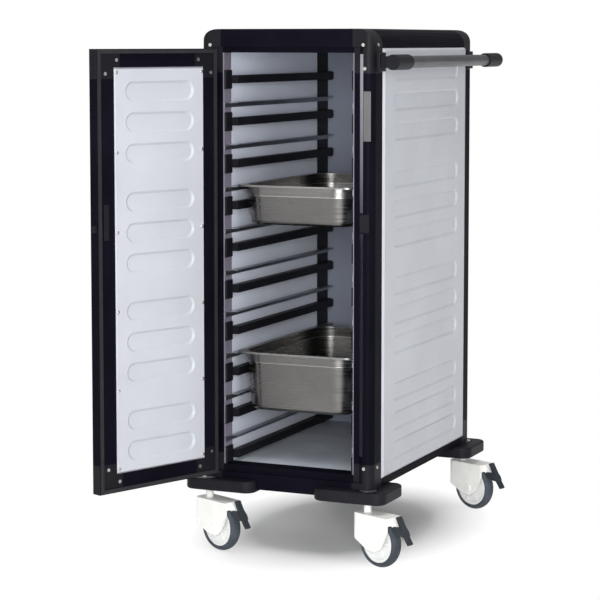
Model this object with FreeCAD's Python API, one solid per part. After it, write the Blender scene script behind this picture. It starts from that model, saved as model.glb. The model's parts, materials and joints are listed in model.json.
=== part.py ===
"""Enclosed meal tray cart: insulated cabinet with one door, a container rack and four casters.

Millimetres, +Z up. The front (door side) faces -Y and the push bar is on the +X side.
The door is drawn open, as it stands in use. Pieces are drawn about the middle of the cabinet
and moved at the end, so that the origin is the middle of the whole cart on the floor.
"""
import FreeCAD, Part
import math
import os

V = FreeCAD.Vector

# ---- cabinet ----
body_width = 460.0
body_depth = 720.0
body_bottom = 183.0
body_top = 1305.0
edge_radius = 20.0
roof_radius = 43.0
roof_front_radius = 8.0
wall = 54.0
front_post_depth = 60.0
rear_post_depth = 65.0
back_wall = 44.0
rail_top_height = 47.0
rail_bottom_height = 20.0
sill_drop = 23.0
cabin_floor = 216.0
ceiling_drop = 58.0
liner_sheet = 1.5
floor_sheet = 2.0
base_sheet = 1.5
cap_top_height = 107.0
cap_bottom_height = 62.0
spigot_length = 25.0
profile_wall = 8.0
groove_width = 1.6
groove_depth = 1.0
screw_radius = 4.2
screw_height = 1.6
screw_sink = 3.0
cap_screw_inset = 26.0
cap_screw_land = 2.0
cap_screw_high = 39.0
cap_screw_low = 96.0
cap_screw_foot = 53.0
cap_screw_back = 12.0

# ---- door recess ----
recess_depth = 12.0
recess_land = 26.0
recess_bevel = 13.0
recess_gap = 4.0
door_head_gap = 1.0

# ---- pressed skins ----
skin_proud = 5.5
skin_hem = 5.0
skin_sheet = 1.2
pill_height = 48.0
pill_pitch = 73.5
pill_depth = 4.0
pill_slope = 1.4
pills_per_group = 3
group_step = 265.0
group_count = 4
pill_margin = 33.0
pill_end_margin = 62.0

# ---- door ----
door_side_gap = 3.0
door_thickness = 26.0
door_rail = 43.0
door_hinge_stile = 40.0
door_free_stile = 52.0
door_cap = 70.0
door_screw_leg = 12.0
door_screw_arm = 10.0
door_screw_drop = 26.0
door_open_angle = 112.0
door_skin_proud = 3.0
door_skin_margin = 10.0
door_group_step = 262.0
door_pill_margin = 33.0
door_pill_end_margin = 35.0
gasket_thickness = 3.5
gasket_width = 9.0
gasket_inset = 2.0
hinge_out = 25.0
hinge_side = 6.0
hinge_pin_radius = 3.5
hinge_knuckle_radius = 6.5
hinge_height = 60.0
hinge_heights = (290.0, 730.0, 1170.0)
hinge_leaf_thickness = 4.0
hinge_leaf_reach = 36.0
hinge_foot_inset = 2.0
hinge_arm_gap = 1.0
running_gap = 0.05
clear_gap = 0.4
cut_past = 1.0

# ---- latch ----
latch_height = 836.0
latch_plate_width = 14.0
latch_plate_height = 84.0
latch_plate_thickness = 1.5
latch_plate_inset = 19.0
bolt_length = 22.0
bolt_thickness = 5.0
bolt_height = 16.0
bolt_reach = 11.0
bolt_travel = 9.0
bolt_depth = 2.0
bolt_cover = 3.0
keeper_clear = 2.0
keeper_lap = 3.0
keeper_sheet = 1.5
keeper_width = 24.0
keeper_height = 44.0
lever_length = 110.0
lever_width = 24.0
lever_thickness = 9.0
spindle_radius = 7.0
lever_blade = 9.6
lever_edge = 3.0
lever_lift = 5.0
escutcheon_radius = 19.2
escutcheon_thickness = 3.0

# ---- rack ----
rail_count = 10
rail_first_drop = 124.5
rail_last_rise = 19.5
rail_height = 20.0
rail_reach = 22.0
rail_wall = 3.0
rail_end_height = 47.0
rail_end_reach = 8.0
ledge_drop = 58.0
ledge_thickness = 2.0
rack_front_width = 38.0
rack_rear_width = 68.0
rack_strip = 3.0
rack_front_gap = 2.0
rack_rear_gap = 4.0
ledge_reach = 22.0
ledge_foot = 12.0
stop_reach = 16.0
stop_height = 24.0
stop_thickness = 6.0

# ---- gastronorm containers ----
pan_length = 530.0
pan_side_gap = 13.5
pan_rim_width = 11.5
pan_step = 3.0
pan_taper = 9.0
pan_sheet = 1.0
pan_rim_height = 4.0
pan_corner = 55.0
pan_rim_corner = 30.0
pan_foot_radius = 14.0
pan_shoulder = 27.0
pan_front_gap = 45.0
upper_pan_depth = 100.0
lower_pan_depth = 150.0
upper_pan_ledge = 2
lower_pan_ledge = 6

# ---- push bar ----
bar_radius = 14.5
bar_offset = 60.0
bar_drop = 80.0
bar_overhang = 25.0
sleeve_radius = 18.5
sleeve_length = 100.0
bracket_foot_width = 39.0
bracket_foot_height = 46.0
bracket_foot_thickness = 10.0
bracket_arm = 28.0
sleeve_end = 3.0
bracket_edge = 3.0
sleeve_edge = 2.0

# ---- bumpers, chassis ----
bumper_height = 30.0
bumper_side = 40.0
bumper_front = 30.0
bumper_length = 190.0
bumper_depth = 150.0
bumper_radius = 28.0
bumper_edge = 5.0
bumper_well = 26.0
chassis_width = 70.0
chassis_gap = 2.0
chassis_sheet = 3.0

# ---- casters ----
caster_side_inset = 15.0
caster_end_inset = 10.0
caster_turn = -24.1
caster_trail = 45.0
wheel_radius = 62.5
tyre_width = 30.0
hub_radius = 50.0
hub_width = 24.0
hub_boss_radius = 13.0
hub_rim = 6.0
hub_web = 9.0
hub_draft = 2.0
tyre_crown = 6.0
tyre_bead = 2.0
axle_radius = 6.0
fork_width = 54.0
fork_cheek = 7.5
fork_top = 129.0
fork_front = 28.0
fork_back = 90.0
fork_tip = 112.0
fork_slope = 18.0
fork_underside = ((112.0, 97.0), (90.0, 93.0), (78.0, 68.0), (66.0, 50.0), (54.0, 42.0), (40.0, 42.0),
                  (24.0, 44.0), (10.0, 50.0), (-4.0, 58.0), (-22.0, 66.0), (-28.0, 76.0))
fork_corner = 14.0
tyre_gap = 2.5
tongue_half = 8.0
axle_head_radius = 9.0
axle_head = 3.0
neck_radius = 9.5
neck_height = 22.0
neck_root = 4.0
stem_radius = 5.0
stem_cup_radius = 16.0
stem_plate_radius = 22.0
stem_plate = 6.0
stem_end = 121.5
pedal_ears_width = 26.0
pedal_pad_width = 15.0
pedal_pivot_s = 104.0
pedal_pivot_z = 104.0
pedal_ear_radius = 7.0
pedal_pin_radius = 3.5
pedal_slot = 12.5
pedal_arm = ((104.0, 111.0), (118.0, 112.0), (130.0, 100.0), (134.0, 90.0), (120.0, 92.0), (104.0, 97.0))
pedal_pad = ((110.0, 136.0), (124.0, 114.0), (137.0, 92.0), (150.0, 74.0), (145.0, 70.0), (131.0, 88.0),
             (118.0, 110.0), (104.0, 132.0))

# ---- places that follow from the sizes above ----
half_width = body_width / 2
front = -body_depth / 2
rear = body_depth / 2
cabin_half = half_width - wall
cabin_top = body_top - ceiling_drop
cabin_front = front + front_post_depth
cabin_rear = rear - back_wall
rear_post_front = rear - rear_post_depth
skin_bottom = body_bottom + rail_bottom_height
skin_top = body_top - rail_top_height
seat_y = front + recess_depth
recess_half = half_width - recess_land - recess_bevel
door_half = recess_half - door_side_gap
door_bottom = skin_bottom
door_top = skin_top - door_head_gap
recess_bottom = door_bottom - recess_gap
recess_top = door_top + recess_gap
door_inner = seat_y - recess_gap
door_outer = door_inner - door_thickness
hinge_x = -door_half - hinge_side
hinge_y = front - hinge_out
latch_x = door_half - door_free_stile / 2
rail_first = body_top - rail_first_drop
rail_last = cabin_floor + rail_last_rise
rail_pitch = (rail_first - rail_last) / (rail_count - 1)
rack_face = cabin_half - rack_strip
rack_front = seat_y + rack_front_gap
rack_rear = cabin_rear - rack_rear_gap
rail_inner = cabin_half - rail_reach
ledge_inner = cabin_half - ledge_reach
pan_front = front + pan_front_gap
pan_half = cabin_half - pan_side_gap
bumper_low = body_bottom - bumper_height
bar_x = half_width + bar_offset
bar_height = body_top - bar_drop
caster_x = half_width - caster_side_inset
caster_y = rear - caster_end_inset


# ---- small helpers ----
def box(low, high):
    """Box between two corners."""
    size = [b - a for a, b in zip(low, high)]
    return Part.makeBox(size[0], size[1], size[2], V(*low))


def rod(base, axis, radius, length):
    """Round bar from base along axis."""
    return Part.makeCylinder(radius, length, V(*base), V(*axis))


def prism(points, place, sweep):
    """Solid from plane points, each placed by a function, swept along a vector."""
    corners = [place(*p) for p in points]
    wire = Part.makePolygon(corners + corners[:1])
    return Part.Face(wire).extrude(V(*sweep))


def mirrored(shape):
    """Copy on the other side of the cart's middle plane."""
    return shape.mirror(V(0, 0, 0), V(1, 0, 0))


def both_sides(shape):
    """The piece and its mirror image."""
    return [shape, mirrored(shape)]


def fused(shapes):
    """One solid from pieces that overlap."""
    return shapes[0].multiFuse(shapes[1:]).removeSplitter()


def rounded_rectangle(half_x, half_y, radius, centre, z):
    """Closed wire with four round corners in a level plane."""
    cx, cy = centre
    spots = [(1, 1, 0), (-1, 1, 90), (-1, -1, 180), (1, -1, 270)]
    edges = []
    ends = []
    for sx, sy, start in spots:
        mid = V(cx + sx * (half_x - radius), cy + sy * (half_y - radius), z)
        circle = Part.Circle(mid, V(0, 0, 1), radius)
        arc = Part.ArcOfCircle(circle, math.radians(start), math.radians(start + 90))
        ends.append((arc.StartPoint, arc.EndPoint))
        edges.append(arc.toShape())
        if len(ends) > 1:
            edges.append(Part.makeLine(ends[-2][1], ends[-1][0]))
    edges.append(Part.makeLine(ends[-1][1], ends[0][0]))
    return Part.Wire(Part.__sortEdges__(edges))


def rounded_block(half_x, half_y, radius, centre, z_low, z_high, taper=0.0):
    """Upright block with round corners, narrower by taper at its foot."""
    top = rounded_rectangle(half_x, half_y, radius, centre, z_high)
    foot_radius = max(radius - taper, 1.0)
    foot = rounded_rectangle(half_x - taper, half_y - taper, foot_radius, centre, z_low)
    return Part.makeLoft([foot, top], True, True)


def in_box(low, high):
    """The part of the cabinet's rounded outside that lies in a box."""
    return cabinet_outline().common(box(low, high))


def cabinet_outline():
    """Outside of the whole cabinet, with its rounded uprights and roof edges."""
    plan = rounded_block(half_width, rear, edge_radius, (0, 0), body_bottom - sill_drop, body_top)
    across = roof_section(half_width, roof_radius)
    face = Part.Face(across)
    face.translate(V(0, front, 0))
    roof = face.extrude(V(0, body_depth, 0))
    along = roof_section(rear, roof_front_radius)
    side = Part.Face(along)
    side.rotate(V(0, 0, 0), V(0, 0, 1), 90)
    side.translate(V(-half_width, 0, 0))
    ends = side.extrude(V(body_width, 0, 0))
    return plan.common(roof).common(ends)


def roof_section(half, radius):
    """Upright section with two round top corners."""
    low = body_bottom - sill_drop
    tilt = math.sqrt(0.5)
    right = Part.Arc(
        V(half, 0, body_top - radius),
        V(half - radius + radius * tilt, 0, body_top - radius + radius * tilt),
        V(half - radius, 0, body_top))
    left = Part.Arc(
        V(radius - half, 0, body_top),
        V(radius - half - radius * tilt, 0, body_top - radius + radius * tilt),
        V(-half, 0, body_top - radius))
    edges = [
        Part.makeLine(V(-half, 0, low), V(half, 0, low)),
        Part.makeLine(V(half, 0, low), V(half, 0, body_top - radius)),
        right.toShape(),
        Part.makeLine(V(half - radius, 0, body_top), V(radius - half, 0, body_top)),
        left.toShape(),
        Part.makeLine(V(-half, 0, body_top - radius), V(-half, 0, low))]
    return Part.Wire(edges)


# ---- cabinet frame ----
def door_recess():
    """Bevelled recess that the door closes into."""
    land = half_width - recess_land
    points = [(-recess_half, seat_y), (-land, front), (-land, front - recess_depth),
              (land, front - recess_depth), (land, front), (recess_half, seat_y)]
    return prism(points, lambda x, y: V(x, y, recess_bottom), (0, 0, recess_top - recess_bottom))


def post_grooves():
    """Fine grooves along the right front post."""
    land_x = half_width - edge_radius
    slot = box((land_x, front - cut_past, body_bottom), (land_x + groove_width, front + groove_depth, body_top))
    tilt = edge_radius * math.sqrt(0.5)
    corner = rod((land_x + tilt, front + edge_radius - tilt, body_bottom), (0, 0, 1),
                 groove_depth, body_top - body_bottom)
    return [slot, corner]


def front_post():
    """Right front post: a hollow profile with the recess and fine grooves."""
    low = body_bottom + cap_bottom_height
    high = body_top - cap_top_height
    post = in_box((cabin_half, front, low), (half_width, cabin_front, high))
    post = post.cut(door_recess())
    for groove in post_grooves():
        post = post.cut(groove)
    return post.cut(front_bore(low, high))


def front_bore(low, high):
    """Hollow of a front post, from one height to another."""
    return box((cabin_half + profile_wall, seat_y + profile_wall, low),
               (half_width - profile_wall, cabin_front - profile_wall, high))


def rear_post():
    """Right rear post: a hollow profile."""
    low = body_bottom + cap_bottom_height
    high = body_top - cap_top_height
    inner = cabin_half + liner_sheet
    post = in_box((inner, rear_post_front, low), (half_width, rear, high))
    return post.cut(rear_bore(low, high))


def rear_bore(low, high):
    """Hollow of a rear post, from one height to another."""
    inner = cabin_half + liner_sheet
    return box((inner + profile_wall, rear_post_front + profile_wall, low),
               (half_width - profile_wall, rear - profile_wall, high))


def corner_cap(at_front, at_top):
    """Moulded corner with a spigot that plugs into its post."""
    y_low, y_high = (front, cabin_front) if at_front else (rear_post_front, rear)
    inner = cabin_half if at_front else cabin_half + liner_sheet
    post_low = body_bottom + cap_bottom_height
    post_high = body_top - cap_top_height
    z_low, z_high = (post_high, body_top) if at_top else (body_bottom, post_low)
    cap = in_box((inner, y_low, z_low), (half_width, y_high, z_high))
    if at_front:
        cap = cap.cut(door_recess())
    bore = front_bore if at_front else rear_bore
    if at_top:
        spigot = bore(post_high - spigot_length, post_high + spigot_length)
    else:
        spigot = bore(post_low - spigot_length, post_low + spigot_length)
    return fused([cap, spigot])


def side_top_rail():
    """Right roof edge: a quarter-round profile."""
    return in_box((cabin_half + liner_sheet, cabin_front, skin_top), (half_width, rear_post_front, body_top))


def side_bottom_rail():
    """Right sill under the side panel."""
    return in_box((cabin_half + liner_sheet, cabin_front, body_bottom),
                  (half_width, rear_post_front, skin_bottom))


def top_rail_front():
    """Head of the door opening."""
    rail = in_box((-cabin_half, front, cabin_top), (cabin_half, cabin_front, body_top))
    return rail.cut(door_recess())


def bottom_rail_front():
    """Threshold of the door opening, with its deeper sill."""
    rail = in_box((-cabin_half, front, body_bottom - sill_drop), (cabin_half, cabin_front, cabin_floor))
    return rail.cut(door_recess())


def top_rail_rear():
    """Rear head."""
    half = cabin_half + liner_sheet
    return in_box((-half, cabin_rear, cabin_top + liner_sheet), (half, rear, body_top))


def bottom_rail_rear():
    """Rear sill."""
    half = cabin_half + liner_sheet
    return in_box((-half, cabin_rear + liner_sheet, body_bottom), (half, rear, cabin_floor))


def screw(x, y, z, axis):
    """Round screw head, sunk a little into its seat; the place is on the seat."""
    start = V(x, y, z) - V(*axis) * screw_sink
    head = Part.makeCylinder(screw_radius, screw_sink + screw_height, start, V(*axis))
    return head


def frame_screw_places():
    """Places and directions of the right front corner's screws."""
    x = half_width - cap_screw_inset
    land_x = half_width - edge_radius - cap_screw_land
    y = front + edge_radius + cap_screw_back
    return [((x, front, body_top - cap_screw_high), (0, -1, 0)),
            ((land_x, front, body_top - cap_screw_low), (0, -1, 0)),
            ((half_width, y, body_top - cap_screw_high), (1, 0, 0)),
            ((land_x, front, body_bottom + cap_screw_foot), (0, -1, 0)),
            ((half_width, y, body_bottom + cap_screw_foot), (1, 0, 0))]


# ---- walls ----
def pill_wire(half_length, half_height, x, y, z):
    """Long round-ended outline in a plane across X."""
    run = half_length - half_height
    right = Part.Arc(V(x, y + run, z - half_height), V(x, y + half_length, z), V(x, y + run, z + half_height))
    left = Part.Arc(V(x, y - run, z + half_height), V(x, y - half_length, z), V(x, y - run, z - half_height))
    edges = [
        right.toShape(),
        Part.makeLine(V(x, y + run, z + half_height), V(x, y - run, z + half_height)),
        left.toShape(),
        Part.makeLine(V(x, y - run, z - half_height), V(x, y + run, z - half_height))]
    return Part.Wire(edges)


def pill(half_length, face_x, depth, grow, y, z):
    """Drafted pill sunk below a face, larger by grow all round and deeper by it."""
    half = pill_height / 2
    outset = grow + pill_slope
    mouth = pill_wire(half_length + outset, half + outset, face_x + cut_past, y, z)
    inset = grow - pill_slope * depth
    floor = pill_wire(half_length + inset, half + inset, face_x - depth - grow, y, z)
    return Part.makeLoft([mouth, floor], True, True)


def tray(face_x, base_x, y_range, z_range, slope, shrink):
    """Shallow block with sloped edges, standing from base_x to face_x."""
    y0, y1 = y_range[0] + shrink, y_range[1] - shrink
    z0, z1 = z_range[0] + shrink, z_range[1] - shrink
    low = Part.makePolygon([V(base_x, y0, z0), V(base_x, y1, z0), V(base_x, y1, z1),
                            V(base_x, y0, z1), V(base_x, y0, z0)])
    s = slope
    high = Part.makePolygon([V(face_x, y0 + s, z0 + s), V(face_x, y1 - s, z0 + s), V(face_x, y1 - s, z1 - s),
                             V(face_x, y0 + s, z1 - s), V(face_x, y0 + s, z0 + s)])
    return Part.makeLoft([low, high], True, True)


def pressed_skin(base_x, proud, y_range, z_range, pills, half_length):
    """Thin tray skin with pressed pills; its open side is at base_x and it faces +X."""
    face_x = base_x + proud
    mid_y = (y_range[0] + y_range[1]) / 2
    outer = tray(face_x, base_x, y_range, z_range, skin_hem, 0.0)
    inner = tray(face_x - skin_sheet, base_x - cut_past, y_range, z_range, skin_hem, skin_sheet)
    depth = min(pill_depth, proud - skin_sheet)
    pockets = [pill(half_length, face_x, depth, 0.0, mid_y, z) for z in pills]
    bosses = [pill(half_length, face_x, depth, skin_sheet, mid_y, z) for z in pills]
    hollow = inner.cut(Part.makeCompound(bosses))
    return outer.cut(Part.makeCompound(pockets)).cut(hollow)


def pill_heights(top, margin, step, groups, last):
    """Middle heights of the pills, counted down from the top of a panel."""
    heights = []
    for group in range(groups):
        count = pills_per_group if group < groups - 1 else last
        for row in range(count):
            heights.append(top - margin - pill_height / 2 - group * step - row * pill_pitch)
    return heights


def side_panel():
    """Right outer skin."""
    y_range = (cabin_front, rear_post_front)
    pills = pill_heights(skin_top, pill_margin, group_step, group_count, pills_per_group)
    half_length = (y_range[1] - y_range[0]) / 2 - pill_end_margin
    return pressed_skin(half_width, skin_proud, y_range, (skin_bottom, skin_top), pills, half_length)


def back_panel():
    """Rear outer skin."""
    half = cabin_half
    pills = pill_heights(skin_top, pill_margin, group_step, group_count, pills_per_group)
    half_length = half - pill_end_margin
    skin = pressed_skin(rear, skin_proud, (-half, half), (skin_bottom, skin_top), pills, half_length)
    skin.rotate(V(0, 0, 0), V(0, 0, 1), 90)
    return skin


def top_panel():
    """Roof skin between the rounded edges."""
    half = cabin_half + liner_sheet
    return box((-half, cabin_front, body_top - liner_sheet), (half, cabin_rear, body_top))


def liner_shell():
    """Cabin lining: two walls, back and ceiling in one folded shell."""
    outer = box((-cabin_half - liner_sheet, cabin_front, cabin_floor - floor_sheet),
                (cabin_half + liner_sheet, cabin_rear + liner_sheet, cabin_top + liner_sheet))
    inner = box((-cabin_half, cabin_front - cut_past, cabin_floor - floor_sheet - cut_past),
                (cabin_half, cabin_rear, cabin_top))
    return outer.cut(inner)


def floor_pan():
    """Cabin floor sheet."""
    return box((-cabin_half, cabin_front, cabin_floor - floor_sheet), (cabin_half, cabin_rear, cabin_floor))


def base_panel():
    """Closing sheet under the cabinet."""
    half = cabin_half + liner_sheet
    return box((-half, cabin_front, body_bottom), (half, cabin_rear + liner_sheet, body_bottom + base_sheet))


def insulation_boards():
    """Foam boards of the two sides, back, roof and floor."""
    half = cabin_half + liner_sheet
    side = box((half, cabin_front, skin_bottom), (half_width, rear_post_front, skin_top))
    back = box((-half, cabin_rear + liner_sheet, cabin_floor), (half, rear, cabin_top + liner_sheet))
    roof = box((-half, cabin_front, cabin_top + liner_sheet), (half, cabin_rear, body_top - liner_sheet))
    floor = box((-half, cabin_front, body_bottom + base_sheet),
                (half, cabin_rear + liner_sheet, cabin_floor - floor_sheet))
    return both_sides(side) + [back, roof, floor]


# ---- rack ----
def rail_height_at(number):
    """Middle height of a thick rail, counted from the top."""
    return rail_first - number * rail_pitch


def ledge_top_at(number):
    """Top of a thin ledge, counted from the top."""
    return rail_height_at(number) - ledge_drop + ledge_thickness / 2


def front_upright():
    """Right front strip of the rack."""
    return box((rack_face, rack_front, cabin_floor), (cabin_half, rack_front + rack_front_width, cabin_top))


def rear_upright():
    """Right rear strip of the rack."""
    return box((rack_face, rack_rear - rack_rear_width, cabin_floor), (cabin_half, rack_rear, cabin_top))


def stop_tab(number):
    """Right tab on the rear strip that stops a container."""
    z = rail_height_at(number)
    return box((cabin_half - stop_reach, rack_rear - stop_thickness, z - stop_height / 2),
               (rack_face, rack_rear, z + stop_height / 2))


def runner_rail(number):
    """Right thick rail: a channel and its taller moulded front end."""
    z = rail_height_at(number)
    start = rack_front + rack_front_width
    end = rack_rear - stop_thickness
    bar = box((rail_inner, start, z - rail_height / 2), (rack_face, end, z + rail_height / 2))
    channel = box((rail_inner + rail_wall, start + rail_wall, z - rail_height / 2 + rail_wall),
                  (rack_face, end, z + rail_height / 2 - rail_wall))
    tip_low = max(z - rail_end_height / 2, cabin_floor)
    tip = box((cabin_half - rail_end_reach, rack_front, tip_low), (rack_face, start, z + rail_end_height / 2))
    inner_edges = [e for e in tip.Edges if e.BoundBox.XMax < rack_face - 1]
    tip = tip.makeFillet(rail_wall, inner_edges)
    return [bar.cut(channel), tip]


def ledge(number):
    """Right thin ledge: a folded angle."""
    top = ledge_top_at(number)
    start = rack_front + rack_front_width
    end = rack_rear - stop_thickness
    shelf = box((ledge_inner, start, top - ledge_thickness), (rack_face, end, top))
    foot = box((rack_face - ledge_thickness, rack_front, top - ledge_foot), (rack_face, end, top))
    return fused([shelf, foot])


# ---- gastronorm containers ----
def pan_form(shrink, depth, rim_top):
    """Filled form of a container, smaller by shrink all round."""
    centre = (0, pan_front + pan_length / 2)
    half_x = pan_half - pan_rim_width - shrink
    half_y = pan_length / 2 - pan_rim_width - shrink
    corner = pan_corner - shrink
    shoulder = rim_top - pan_shoulder + shrink
    over = pan_rim_height if shrink else 0.0
    mouth = rounded_block(half_x, half_y, corner, centre, shoulder, rim_top + over)
    belly = rounded_block(half_x - pan_step, half_y - pan_step, corner - pan_step, centre,
                          rim_top - depth + shrink, shoulder, pan_taper)
    foot = rim_top - depth + shrink
    edges = [e for e in belly.Edges if abs(e.BoundBox.ZMax - foot) < 0.01]
    belly = belly.makeFillet(pan_foot_radius - shrink, edges)
    return mouth.fuse(belly).removeSplitter()


def pan(depth, number):
    """Container with a turned-down rim that rests on a ledge."""
    rim_top = ledge_top_at(number) + pan_rim_height + clear_gap
    centre = (0, pan_front + pan_length / 2)
    half_x = pan_half
    half_y = pan_length / 2
    rim = rounded_block(half_x, half_y, pan_rim_corner, centre, rim_top - pan_rim_height, rim_top)
    under = rounded_block(half_x - pan_sheet, half_y - pan_sheet, pan_rim_corner - pan_sheet, centre,
                          rim_top - pan_rim_height - cut_past, rim_top - pan_sheet)
    shell = rim.cut(under).fuse(pan_form(0.0, depth, rim_top))
    return shell.cut(pan_form(pan_sheet, depth, rim_top)).removeSplitter()


# ---- door, drawn closed and then turned open ----
def opened(shape):
    """The door's piece, turned to the angle at which the cart stands."""
    copy = shape.copy()
    copy.rotate(V(hinge_x, hinge_y, 0), V(0, 0, 1), -door_open_angle)
    return copy


def door_stiles():
    """Hinge stile and free stile, with the latch's slot and bore."""
    z = (door_bottom + door_cap, door_top - door_cap)
    hinge = box((-door_half, door_outer, z[0]), (door_hinge_stile - door_half, door_inner, z[1]))
    free = box((door_half - door_free_stile, door_outer, z[0]), (door_half, door_inner, z[1]))
    gap = clear_gap
    slot = box((door_half - bolt_length + bolt_reach - bolt_travel - gap, bolt_back() - bolt_thickness - gap,
                latch_height - bolt_height / 2 - gap),
               (door_half + gap, bolt_back() + gap, latch_height + bolt_height / 2 + gap))
    bore = rod((latch_x, door_outer - cut_past, latch_height), (0, 1, 0), spindle_radius + running_gap,
               spindle_depth() + cut_past + gap)
    return [hinge, free.cut(slot).cut(bore)]


def bolt_back():
    """Face of the bolt nearest the cabin, with the door closed."""
    return door_inner - bolt_depth


def spindle_depth():
    """How far the lever's spindle reaches into the stile."""
    return door_thickness - bolt_depth - bolt_thickness - bolt_cover


def door_rails():
    """Head and foot of the door between its corner caps."""
    x = (door_cap - door_half, door_half - door_cap)
    head = box((x[0], door_outer, door_top - door_rail), (x[1], door_inner, door_top))
    foot = box((x[0], door_outer, door_bottom), (x[1], door_inner, door_bottom + door_rail))
    return [head, foot]


def door_corner(side, at_top):
    """Moulded corner of the door, an L as wide as the stile and as tall as the rail."""
    stile = door_free_stile if side > 0 else door_hinge_stile
    edge = side * door_half
    z_edge = door_top if at_top else door_bottom
    up = -1 if at_top else 1
    xs = sorted((edge, edge - side * stile))
    xl = sorted((edge, edge - side * door_cap))
    zs = sorted((z_edge, z_edge + up * door_cap))
    zl = sorted((z_edge, z_edge + up * door_rail))
    leg = box((xs[0], door_outer, zs[0]), (xs[1], door_inner, zs[1]))
    arm = box((xl[0], door_outer, zl[0]), (xl[1], door_inner, zl[1]))
    return fused([leg, arm])


def door_corners():
    """All four moulded corners, with the seats of their screws."""
    seats = Part.makeCompound(door_screws())
    return [door_corner(side, top).cut(seats) for side in (-1, 1) for top in (False, True)]


def door_screws():
    """Screws of the four corners."""
    return [screw(*place, axis) for place, axis in door_screw_places()]


def door_screw_places():
    """One screw on each corner's leg and one on its arm, on the inner face."""
    places = []
    for side, stile in ((-1, door_hinge_stile), (1, door_free_stile)):
        for z_edge, up in ((door_top, -1), (door_bottom, 1)):
            x_leg = side * (door_half - stile / 2)
            x_arm = side * (door_half - door_cap + door_screw_arm)
            places.append(((x_leg, door_inner, z_edge + up * (door_cap - door_screw_leg)), (0, 1, 0)))
            places.append(((x_arm, door_inner, z_edge + up * door_screw_drop), (0, 1, 0)))
    return places


def door_inner_skin():
    """Pressed inner skin, flush with the stiles."""
    y_range = (-(door_half - door_free_stile), door_half - door_hinge_stile)
    z_range = (door_bottom + door_rail, door_top - door_rail)
    pills = pill_heights(z_range[1], door_pill_margin, door_group_step, group_count, pills_per_group - 1)
    half_length = (y_range[1] - y_range[0]) / 2 - door_pill_end_margin
    skin = pressed_skin(door_inner - skin_proud, skin_proud, y_range, z_range, pills, half_length)
    skin.rotate(V(0, 0, 0), V(0, 0, 1), 90)
    return skin


def door_outer_skin():
    """Pressed outer skin, standing a little proud of the frame."""
    half = door_half - door_skin_margin
    z_range = (door_bottom + door_skin_margin, door_top - door_skin_margin)
    last = pills_per_group - 1
    pills = pill_heights(door_top - door_rail, door_pill_margin, door_group_step, group_count, last)
    half_length = half - door_free_stile
    skin = pressed_skin(-door_outer, door_skin_proud, (-half, half), z_range, pills, half_length)
    skin.rotate(V(0, 0, 0), V(0, 0, 1), -90)
    hole = rod((latch_x, door_outer - door_skin_proud - cut_past, latch_height), (0, 1, 0),
               spindle_radius + clear_gap, door_skin_proud + 2 * cut_past)
    return skin.cut(hole)


def door_core():
    """Foam between the door's skins."""
    return box((door_hinge_stile - door_half, door_outer, door_bottom + door_rail),
               (door_half - door_free_stile, door_inner - skin_proud, door_top - door_rail))


def door_gasket():
    """Seal that meets the seat round the opening."""
    out_x = door_half - gasket_inset
    out_z = (door_bottom + gasket_inset, door_top - gasket_inset)
    back = door_inner + gasket_thickness
    ring = box((-out_x, door_inner, out_z[0]), (out_x, back, out_z[1]))
    hole = box((gasket_width - out_x, door_inner - cut_past, out_z[0] + gasket_width),
               (out_x - gasket_width, back + cut_past, out_z[1] - gasket_width))
    return ring.cut(hole)


# ---- hinges ----
def knuckle(z_low, z_high):
    """Hinge barrel with a running bore for the pin."""
    return rod((hinge_x, hinge_y, z_low), (0, 0, 1), hinge_knuckle_radius, z_high - z_low)


def pin_bore(z_low, z_high):
    """Space for the pin through a barrel."""
    return rod((hinge_x, hinge_y, z_low - cut_past), (0, 0, 1), hinge_pin_radius + running_gap,
               z_high - z_low + 2 * cut_past)


def hinge_bracket(z):
    """Fixed half: foot on the post, arm to two outer barrels."""
    half = hinge_height / 2
    third = hinge_height / 6
    land = recess_land - half_width
    t = hinge_leaf_thickness
    gap = hinge_arm_gap
    leg_x = land - 2 * t
    arm_y = hinge_y + gap
    foot = box((hinge_foot_inset - half_width, front - t, z - half), (land - gap, front, z + half))
    leg = box((leg_x, arm_y, z - half), (leg_x + t, front, z + half))
    arm = box((leg_x, arm_y, z - half), (hinge_x - hinge_knuckle_radius - gap, arm_y + t, z + half))
    pieces = [foot, leg, arm]
    for low, high in ((z - half, z - third), (z + third, z + half)):
        pieces.append(knuckle(low, high))
        pieces.append(box((hinge_x - hinge_knuckle_radius - 2 * gap, arm_y, low), (hinge_x, arm_y + t, high)))
    return fused(pieces).cut(pin_bore(z - half, z + half))


def hinge_pin(z):
    """Pin of one hinge."""
    return rod((hinge_x, hinge_y, z - hinge_height / 2), (0, 0, 1), hinge_pin_radius, hinge_height)


def hinge_leaf(z):
    """Door half: middle barrel and a leaf on the outer skin."""
    half = hinge_height / 6 - clear_gap
    barrel = knuckle(z - half, z + half)
    leaf = box((hinge_x, door_outer - door_skin_proud - hinge_leaf_thickness, z - half),
               (hinge_x + hinge_leaf_reach, door_outer - door_skin_proud, z + half))
    return fused([barrel, leaf]).cut(pin_bore(z - half, z + half))


# ---- latch ----
def latch_bolt():
    """Sliding bolt, shown out."""
    low = (door_half + bolt_reach - bolt_length, bolt_back() - bolt_thickness, latch_height - bolt_height / 2)
    high = (door_half + bolt_reach, bolt_back(), latch_height + bolt_height / 2)
    return box(low, high)


def latch_plate():
    """Plate over the latch on the inner face."""
    x = door_half - door_free_stile + latch_plate_inset
    return box((x, door_inner, latch_height - latch_plate_height / 3),
               (x + latch_plate_width, door_inner + latch_plate_thickness,
                latch_height + latch_plate_height * 2 / 3))


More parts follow.
